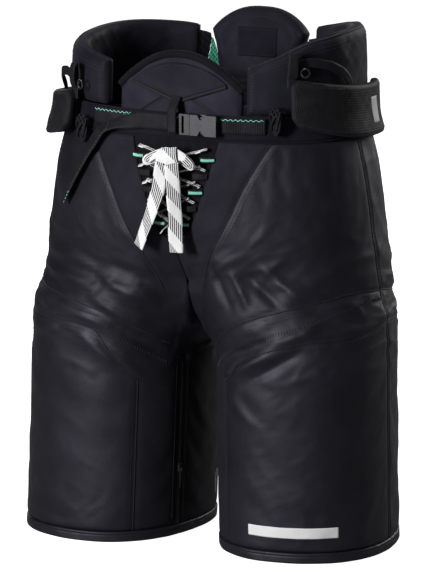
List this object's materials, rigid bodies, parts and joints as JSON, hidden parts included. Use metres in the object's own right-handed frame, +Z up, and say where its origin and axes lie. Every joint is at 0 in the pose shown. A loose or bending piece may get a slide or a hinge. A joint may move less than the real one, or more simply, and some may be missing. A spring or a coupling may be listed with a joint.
{
  "type": "ice hockey pants",
  "caption": "Padded ice hockey pants with raised hip and back pads, laced fly, buckled belt, thigh guards, zipped inner legs and soft flex zones.",
  "frame": {"origin": "Middle of the bounding box of the garment, on the flat plane of the two hems.", "axes": "+Z up from the hems to the waist, -Y towards the garment's front, +X towards the wearer's left."},
  "size_m": [0.4534, 0.2899, 0.6065],
  "materials": {
    "nylon": "woven, soft sheen",
    "navy_knit": "knit, matte",
    "pad_cover": "smooth jersey over foam",
    "guard_plastic": "moulded, satin",
    "foam": "closed cell, matte",
    "webbing": "ribbed weave",
    "buckle_plastic": "moulded, satin",
    "lace": "flat braid, matte",
    "green_mesh": "open net",
    "nickel": "satin"
  },
  "bodies": {
    "pants": {"buckle_male": "buckle_plastic", "cuff_knot_left": "webbing", "cuff_knot_right": "webbing", "cuff_left": "webbing", "cuff_loop_left": "webbing", "cuff_loop_right": "webbing", "cuff_right": "webbing", "cuff_ring_left": "nickel", "cuff_ring_right": "nickel", "flex_band_left": "nylon", "flex_band_right": "nylon", "fly_tongue": "navy_knit", "front_badge": "nylon", "front_pad": "pad_cover", "hip_pad_left": "pad_cover", "hip_pad_right": "pad_cover", "hip_panel_left": "nylon", "hip_panel_right": "nylon", "hip_plate_left": "guard_plastic", "hip_plate_right": "guard_plastic", "keeper_loop": "webbing", "lace_bow": "lace", "lace_rows": "lace", "lace_tail_left": "lace", "lace_tail_right": "lace", "mesh_gusset_left": "green_mesh", "mesh_gusset_right": "green_mesh", "seat_panel_left": "nylon", "seat_panel_right": "nylon", "strap_left": "webbing", "strap_right": "webbing", "strap_tail": "webbing", "stretch_panel_left": "navy_knit", "stretch_panel_right": "navy_knit", "waistband": "navy_knit"},
    "buckle_female": {"buckle_female": "buckle_plastic"},
    "prong_upper": {"prong_upper": "buckle_plastic"},
    "prong_lower": {"prong_lower": "buckle_plastic"},
    "back_pad": {"back_pad": "pad_cover", "spine_plate": "guard_plastic"},
    "leg_left": {"thigh_panel_left": "nylon", "thigh_guard_left": "foam", "back_panel_left": "nylon", "inner_front_left": "nylon", "inner_back_left": "nylon", "zip_tape_left": "webbing", "hem_left": "nylon"},
    "zip_slider_left": {"zip_slider_left": "nickel"},
    "zip_pull_left": {"zip_pull_left": "nickel"},
    "leg_right": {"thigh_panel_right": "nylon", "thigh_guard_right": "foam", "back_panel_right": "nylon", "inner_front_right": "nylon", "inner_back_right": "nylon", "zip_tape_right": "webbing", "hem_right": "nylon"},
    "zip_slider_right": {"zip_slider_right": "nickel"},
    "zip_pull_right": {"zip_pull_right": "nickel"}
  },
  "joints": [
    {"name": "leg_left_swing", "type": "hinge", "parent": "pants", "child": "leg_left", "pos_m": [0.1123, 0, 0.29], "axis": [-1, 0, 0], "range_deg": [-10, 25], "stiffness_Nm_per_rad": 14, "deforming": ["flex_band_left"]},
    {"name": "leg_right_swing", "type": "hinge", "parent": "pants", "child": "leg_right", "pos_m": [-0.1123, 0, 0.29], "axis": [-1, 0, 0], "range_deg": [-10, 25], "stiffness_Nm_per_rad": 14, "deforming": ["flex_band_right"]},
    {"name": "back_pad_tilt", "type": "hinge", "parent": "pants", "child": "back_pad", "pos_m": [0, 0.128, 0.5195], "axis": [-1, 0, 0], "range_deg": [-5, 15], "stiffness_Nm_per_rad": 4, "deforming": ["mesh_gusset_left", "mesh_gusset_right"]},
    {"name": "buckle_release", "type": "slide", "parent": "pants", "child": "buckle_female", "axis": [1, 0, 0], "range_m": [0, 0.025], "deforming": ["strap_left"]},
    {"name": "prong_upper_squeeze", "type": "hinge", "parent": "pants", "child": "prong_upper", "pos_m": [0.0227, -0.1215, 0.5126], "axis": [0, 1, 0], "range_deg": [0, 6], "stiffness_Nm_per_rad": 0.2},
    {"name": "prong_lower_squeeze", "type": "hinge", "parent": "pants", "child": "prong_lower", "pos_m": [0.0227, -0.1215, 0.4994], "axis": [0, -1, 0], "range_deg": [0, 6], "stiffness_Nm_per_rad": 0.2},
    {"name": "zip_left_slide", "type": "slide", "parent": "leg_left", "child": "zip_slider_left", "axis": [-0.0135, 0, 0.9999], "range_m": [0, 0.125]},
    {"name": "zip_pull_left_hang", "type": "hinge", "parent": "zip_slider_left", "child": "zip_pull_left", "pos_m": [0.01943, -0.04585, 0.0805], "axis": [-0.3113, 0.9503, -0.0042], "range_deg": [0, 45]},
    {"name": "zip_right_slide", "type": "slide", "parent": "leg_right", "child": "zip_slider_right", "axis": [0.0404, 0, 0.9992], "range_m": [0, 0.125]},
    {"name": "zip_pull_right_hang", "type": "hinge", "parent": "zip_slider_right", "child": "zip_pull_right", "pos_m": [-0.02427, -0.04585, 0.0805], "axis": [-0.3113, -0.9502, 0.0126], "range_deg": [0, 45]}
  ]
}
